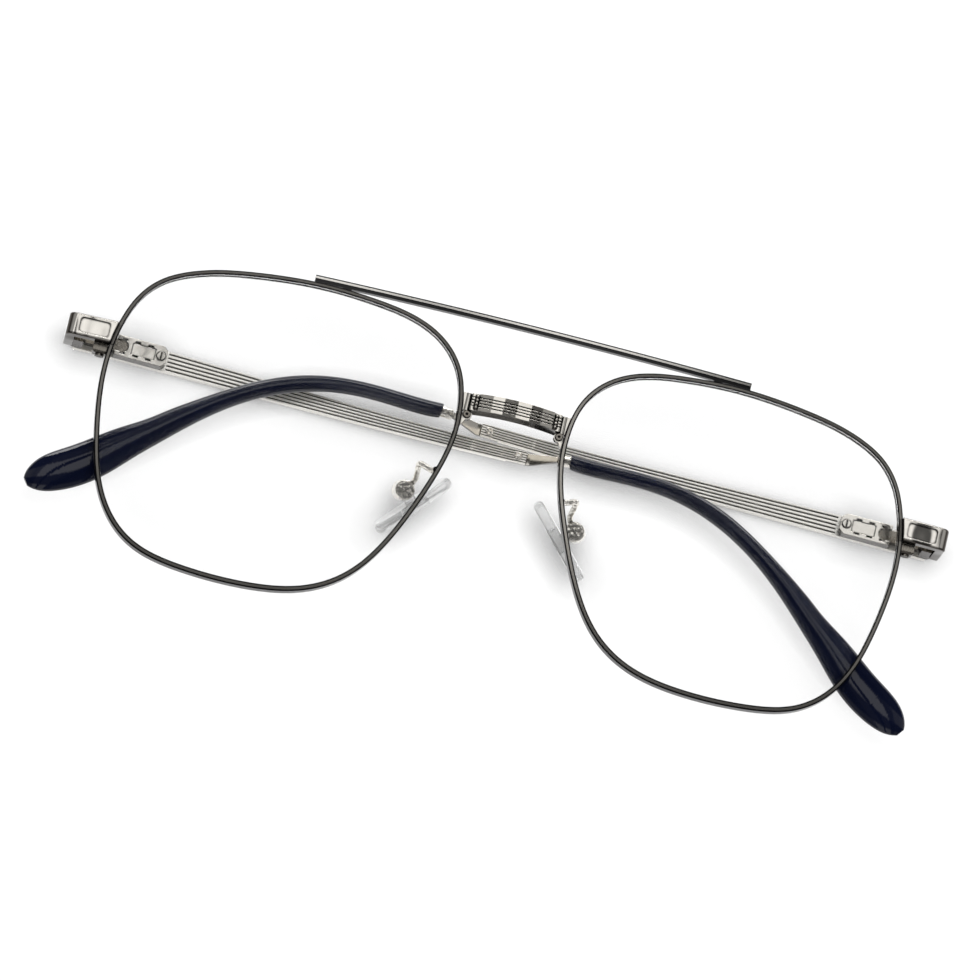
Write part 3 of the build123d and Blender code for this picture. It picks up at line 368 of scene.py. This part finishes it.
def painted_corner_shade(tree, shader, tone, corner_reach, least_open, most_open):
    """Gives the shader its colour, with painted shade darkening it where corners are close."""
    # painted shade: occlusion by nearby surfaces darkens the colour
    corner = node(tree, "ShaderNodeAmbientOcclusion", {"Distance": corner_reach}, samples=8)
    unshaded_corner = node(
        tree, "ShaderNodeMapRange",
        {"Value": corner.outputs["AO"], "From Min": least_open, "From Max": most_open},
    )
    tone = node(
        tree, "ShaderNodeMix",
        {"Factor": unshaded_corner.outputs[0], "A": linear("#1d1b19"), "B": tone.outputs["Result"]},
        data_type="RGBA",
    )
    tree.links.new(tone.outputs["Result"], shader.inputs["Base Color"])


def relieved(tree, shader, pattern, edge_radius, strength, depth):
    """Gives the shader rounded edges and a pattern's relief."""
    rounded = node(tree, "ShaderNodeBevel", {"Radius": edge_radius}, samples=6)
    relief = node(
        tree, "ShaderNodeBump",
        {"Height": pattern.outputs[0], "Strength": strength, "Distance": depth,
         "Normal": rounded.outputs[0]},
    )
    tree.links.new(relief.outputs[0], shader.inputs["Normal"])


plated, tree, shader, where = surface("palladium_plated_nickel_silver")
shader.inputs["Metallic"].default_value = 1.0
cloud = node(
    tree, "ShaderNodeTexNoise",
    {"Vector": where.outputs["Object"], "Scale": noise_scale(1.43), "Detail": 2.0},
)
tone = node(
    tree, "ShaderNodeMix",
    {"Factor": cloud.outputs[0], "A": linear("#c6c2ba"), "B": linear("#dcd8d0")},
    data_type="RGBA",
)
# painted shade on faces that point sideways and in close corners
tone = painted_side_shade(tree, where, tone)
painted_corner_shade(tree, shader, tone, corner_reach=0.0005, least_open=0.4, most_open=0.85)
# the buffing wheel's lines are a few hundredths of a millimetre apart, and drawn 0.11 mm apart
line_apart = noise_scale(0.11)
stretch = node(
    tree, "ShaderNodeMapping",
    {"Vector": where.outputs["Object"], "Scale": (noise_scale(1.11), line_apart, line_apart)},
)
buffing = node(tree, "ShaderNodeTexNoise", {"Vector": stretch.outputs[0], "Scale": 1.0, "Detail": 2.0})
gloss = node(tree, "ShaderNodeMapRange", {"Value": buffing.outputs[0], "To Min": 0.05, "To Max": 0.14})
tree.links.new(gloss.outputs[0], shader.inputs["Roughness"])
relieved(tree, shader, buffing, edge_radius=0.0001, strength=0.05, depth=0.00001)
dress(plated, "bridge", "bridge_lug", "core_wire")


# Pad wires, boxes and screws, and the temples' rivets and ferrules
# Bent wire, pressed cups and small turned parts, tumbled bright before plating. Tumbling dimples
# them, so that they sparkle in light and dark specks instead of one flat mirror.
tumbled, tree, shader, where = surface("tumbled_nickel_silver")
shader.inputs["Metallic"].default_value = 0.85
# real dimples are under 0.1 mm wide, and are drawn 0.6 mm wide so that they show
dimple = node(
    tree, "ShaderNodeTexNoise",
    {"Vector": where.outputs["Object"], "Scale": noise_scale(0.625), "Detail": 0.0},
)
tone = node(
    tree, "ShaderNodeMix",
    {"Factor": dimple.outputs[0], "A": linear("#c4c0b8"), "B": linear("#f0ede6")},
    data_type="RGBA",
)
# painted shade in close corners
painted_corner_shade(tree, shader, tone, corner_reach=0.0005, least_open=0.35, most_open=0.75)
gloss = node(tree, "ShaderNodeMapRange", {"Value": dimple.outputs[0], "To Min": 0.08, "To Max": 0.18})
tree.links.new(gloss.outputs[0], shader.inputs["Roughness"])
relieved(tree, shader, dimple, edge_radius=0.0002, strength=1.0, depth=0.00022)
dress(tumbled, "pad_arm", "pad_box", "pad_screw", "rivet", "ferrule")


# Endpieces
# The bridge's plated nickel silver, with broad flat faces. Hand buffing leaves them very slightly
# wavy, so that each one mirrors the bright and dark parts of the room in curved shapes.
buffed, tree, shader, where = surface("hand_buffed_nickel_silver")
shader.inputs["Metallic"].default_value = 1.0
cloud = node(
    tree, "ShaderNodeTexNoise",
    {"Vector": where.outputs["Object"], "Scale": noise_scale(1.43), "Detail": 2.0},
)
tone = node(
    tree, "ShaderNodeMix",
    {"Factor": cloud.outputs[0], "A": linear("#ccc8c1"), "B": linear("#e0dcd5")},
    data_type="RGBA",
)
# painted shade on faces that point sideways and in close corners
tone = painted_side_shade(tree, where, tone)
painted_corner_shade(tree, shader, tone, corner_reach=0.0005, least_open=0.45, most_open=0.9)
gloss = node(tree, "ShaderNodeMapRange", {"Value": cloud.outputs[0], "To Min": 0.05, "To Max": 0.11})
tree.links.new(gloss.outputs[0], shader.inputs["Roughness"])
wave = node(
    tree, "ShaderNodeTexNoise",
    {"Vector": where.outputs["Object"], "Scale": noise_scale(4.35), "Detail": 0.0},
)
relieved(tree, shader, wave, edge_radius=0.0002, strength=1.0, depth=0.0005)
dress(buffed, "endpiece")


# Spring hinge housings and their end screws
# Milled from bar and turned, then plated. A fine lapping leaves a soft mirror, and painted
# shade in the sunk face's corners and notches outlines them.
lapped, tree, shader, where = surface("lapped_nickel_silver")
shader.inputs["Metallic"].default_value = 1.0
lap = node(
    tree, "ShaderNodeTexNoise",
    {"Vector": where.outputs["Object"], "Scale": noise_scale(2.38), "Detail": 1.0},
)
tone = node(
    tree, "ShaderNodeMix",
    {"Factor": lap.outputs[0], "A": linear("#cfcbc4"), "B": linear("#e3e0d9")},
    data_type="RGBA",
)
# painted shade on faces that point sideways and in close corners
tone = painted_side_shade(tree, where, tone)
painted_corner_shade(tree, shader, tone, corner_reach=0.0009, least_open=0.5, most_open=0.88)
gloss = node(tree, "ShaderNodeMapRange", {"Value": lap.outputs[0], "To Min": 0.12, "To Max": 0.22})
tree.links.new(gloss.outputs[0], shader.inputs["Roughness"])
relieved(tree, shader, lap, edge_radius=0.0002, strength=1.0, depth=0.00006)
dress(lapped, "spring_housing", "retaining_screw")


# Hinges, closing blocks, bridge pins and their screws
# Milled nickel silver blocks and turned steel screws, plated thinly and left less bright than
# the front, with fine milling marks and painted shade round them.
milled, tree, shader, where = surface("milled_nickel_silver")
shader.inputs["Metallic"].default_value = 1.0
# real milling marks are about 0.02 mm apart, and are drawn 0.11 mm apart
mark_length = noise_scale(0.83)
stretch = node(
    tree, "ShaderNodeMapping",
    {"Vector": where.outputs["Object"], "Scale": (noise_scale(0.11), mark_length, mark_length)},
)
marks = node(tree, "ShaderNodeTexNoise", {"Vector": stretch.outputs[0], "Scale": 1.0, "Detail": 2.0})
tone = node(
    tree, "ShaderNodeMix",
    {"Factor": marks.outputs[0], "A": linear("#7d7870"), "B": linear("#9d988f")},
    data_type="RGBA",
)
# painted shade on faces that point sideways and in close corners
tone = painted_side_shade(tree, where, tone)
painted_corner_shade(tree, shader, tone, corner_reach=0.0005, least_open=0.3, most_open=0.75)
gloss = node(tree, "ShaderNodeMapRange", {"Value": marks.outputs[0], "To Min": 0.2, "To Max": 0.32})
tree.links.new(gloss.outputs[0], shader.inputs["Roughness"])
relieved(tree, shader, marks, edge_radius=0.0001, strength=0.08, depth=0.00001)
dress(
    milled, "bridge_pin", "upper_closing_block", "lower_closing_block", "closing_screw",
    "endpiece_knuckles", "hinge_screw", "hinge_slider", "spring",
)


# Temple strips
# Flat nickel silver, ribbed lengthwise by five grooves and polished on the ribs, with painted
# shade darkening the grooves. The grooves draw together towards the strip's end.
hinge_x = 0.0696
hinge_y = 0.0097
temple_lean = math.radians(1.1)
strip_start_mm = 14.4
strip_end_mm = 70.0
grooves_start_mm = 14.7
start_width = 0.0034
width_lost = 0.0013
middle_drop = 0.00055
# five grooves over 0.76 of the width stand 0.19 of it apart
groove_share = 0.19
groove_edge, rib_edge = 0.15, 0.23
for side, way in (("left", 1), ("right", -1)):
    strip, tree, shader, where = surface(side + "_ribbed_strip")
    shader.inputs["Metallic"].default_value = 0.6
    # along the strip from its hinge, and across it from its middle as a share of its width
    shifted = node(
        tree, "ShaderNodeVectorMath",
        {0: where.outputs["Object"], 1: (way * hinge_x, -hinge_y, 0)}, operation="ADD",
    )
    turned = node(
        tree, "ShaderNodeVectorRotate", {"Vector": shifted.outputs[0], "Angle": temple_lean},
        rotation_type="Z_AXIS",
    )
    along = node(tree, "ShaderNodeSeparateXYZ", {0: turned.outputs[0]})
    run = node(tree, "ShaderNodeMath", {0: along.outputs["X"], 1: way * 1000.0}, operation="MULTIPLY")
    share = node(
        tree, "ShaderNodeMapRange",
        {"Value": run.outputs[0], "From Min": strip_start_mm, "From Max": strip_end_mm},
    )
    middle = node(tree, "ShaderNodeMath", {0: share.outputs[0], 1: -middle_drop}, operation="MULTIPLY")
    breadth = node(
        tree, "ShaderNodeMath", {0: share.outputs[0], 1: -width_lost, 2: start_width},
        operation="MULTIPLY_ADD",
    )
    across = node(
        tree, "ShaderNodeMath", {0: along.outputs["Y"], 1: middle.outputs[0]}, operation="SUBTRACT"
    )
    across = node(
        tree, "ShaderNodeMath", {0: across.outputs[0], 1: breadth.outputs[0]}, operation="DIVIDE"
    )
    # how far each place is from the nearest groove's middle, where one groove to the next is 1
    pitch = node(
        tree, "ShaderNodeMath", {0: across.outputs[0], 1: 1 / groove_share, 2: 0.5},
        operation="MULTIPLY_ADD",
    )
    pitch = node(tree, "ShaderNodeMath", {0: pitch.outputs[0]}, operation="FRACT")
    pitch = node(tree, "ShaderNodeMath", {0: pitch.outputs[0], 1: 0.5}, operation="SUBTRACT")
    pitch = node(tree, "ShaderNodeMath", {0: pitch.outputs[0]}, operation="ABSOLUTE")
    # painted shade: the tops of the grooves are darkened
    dark = node(
        tree, "ShaderNodeMapRange",
        {"Value": pitch.outputs[0], "From Min": groove_edge, "From Max": rib_edge,
         "To Min": 1.0, "To Max": 0.0},
    )
    inside = node(
        tree, "ShaderNodeMath", {0: run.outputs[0], 1: grooves_start_mm}, operation="GREATER_THAN"
    )
    normal = node(tree, "ShaderNodeSeparateXYZ", {0: where.outputs["Normal"]})
    top = node(tree, "ShaderNodeMath", {0: normal.outputs["Z"], 1: forwards}, operation="GREATER_THAN")
    dark = node(tree, "ShaderNodeMath", {0: dark.outputs[0], 1: inside.outputs[0]}, operation="MULTIPLY")
    dark = node(tree, "ShaderNodeMath", {0: dark.outputs[0], 1: top.outputs[0]}, operation="MULTIPLY")
    grain = node(
        tree, "ShaderNodeTexNoise",
        {"Vector": where.outputs["Object"], "Scale": noise_scale(1.11), "Detail": 2.0},
    )
    rib = node(
        tree, "ShaderNodeMix",
        {"Factor": grain.outputs[0], "A": linear("#ebe8e1"), "B": linear("#f6f4ee")},
        data_type="RGBA",
    )
    tone = node(
        tree, "ShaderNodeMix",
        {"Factor": dark.outputs[0], "A": rib.outputs["Result"], "B": linear("#1c1916")},
        data_type="RGBA",
    )
    tree.links.new(tone.outputs["Result"], shader.inputs["Base Color"])
    gloss = node(tree, "ShaderNodeMapRange", {"Value": dark.outputs[0], "To Min": 0.34, "To Max": 0.4})
    tree.links.new(gloss.outputs[0], shader.inputs["Roughness"])
    relief = node(
        tree, "ShaderNodeBump", {"Height": grain.outputs[0], "Strength": 0.05, "Distance": 0.00001}
    )
    tree.links.new(relief.outputs[0], shader.inputs["Normal"])
    dress(strip, side + "_temple_strip")


# Temple tips
# Cellulose acetate, turned and tumbled to a deep gloss, in a blue so dark that it looks
# black. Tumbling leaves the surface very slightly uneven.
acetate, tree, shader, where = surface("navy_cellulose_acetate")
cloud = node(
    tree, "ShaderNodeTexNoise",
    {"Vector": where.outputs["Object"], "Scale": noise_scale(6.25), "Detail": 2.0},
)
tone = node(
    tree, "ShaderNodeMix",
    {"Factor": cloud.outputs[0], "A": linear("#070a19"), "B": linear("#0b1023")},
    data_type="RGBA",
)
tree.links.new(tone.outputs["Result"], shader.inputs["Base Color"])
shader.inputs["IOR"].default_value = 1.48
shader.inputs["Specular IOR Level"].default_value = 0.4
gloss = node(tree, "ShaderNodeMapRange", {"Value": cloud.outputs[0], "To Min": 0.03, "To Max": 0.07})
tree.links.new(gloss.outputs[0], shader.inputs["Roughness"])
uneven = node(
    tree, "ShaderNodeBump", {"Height": cloud.outputs[0], "Strength": 0.03, "Distance": 0.0001}
)
tree.links.new(uneven.outputs[0], shader.inputs["Normal"])
dress(acetate, "temple_tip")


# Nose pads
# Soft clear silicone moulded over a clear polycarbonate core, whose tongue the pad's screw
# holds. It is a little cloudy, and its colour darkens to grey towards its edges, where its
# surface is seen at a low angle.
for name, kind, colour, index, rough in (
    ("clear_silicone", "nose_pad", "#ecedec", 1.41, (0.06, 0.16)),
    ("clear_polycarbonate", "pad_insert", "#f2f3f2", 1.45, (0.03, 0.10)),
):
    clear, tree, shader, where = surface(name)
    shader.inputs["Transmission Weight"].default_value = 1.0
    shader.inputs["IOR"].default_value = index
    haze = node(
        tree, "ShaderNodeTexNoise",
        {"Vector": where.outputs["Object"], "Scale": noise_scale(2.0), "Detail": 2.0},
    )
    gloss = node(
        tree, "ShaderNodeMapRange",
        {"Value": haze.outputs[0], "To Min": rough[0], "To Max": rough[1]},
    )
    tree.links.new(gloss.outputs[0], shader.inputs["Roughness"])
    edge = node(tree, "ShaderNodeLayerWeight", {"Blend": 0.35})
    tone = node(
        tree, "ShaderNodeMix",
        {"Factor": edge.outputs["Facing"], "A": linear(colour), "B": linear("#4a4a4d")},
        data_type="RGBA",
    )
    tree.links.new(tone.outputs["Result"], shader.inputs["Base Color"])
    path = node(tree, "ShaderNodeLightPath")
    # three quarters of the light passes straight through the middle, and none at the edge
    clear_share = node(
        tree, "ShaderNodeMapRange",
        {"Value": edge.outputs["Facing"], "From Min": 0.2, "From Max": 0.62,
         "To Min": 0.75, "To Max": 0.0},
    )
    clear_share = node(
        tree, "ShaderNodeMath", {0: path.outputs["Is Shadow Ray"], 1: clear_share.outputs[0]},
        operation="MAXIMUM",
    )
    passing = node(tree, "ShaderNodeBsdfTransparent", {"Color": linear("#eeeeee")})
    mixed = node(
        tree, "ShaderNodeMixShader",
        {0: clear_share.outputs[0], 1: shader.outputs[0], 2: passing.outputs[0]},
    )
    tree.links.new(mixed.outputs[0], tree.nodes["Material Output"].inputs["Surface"])
    dress(clear, kind)
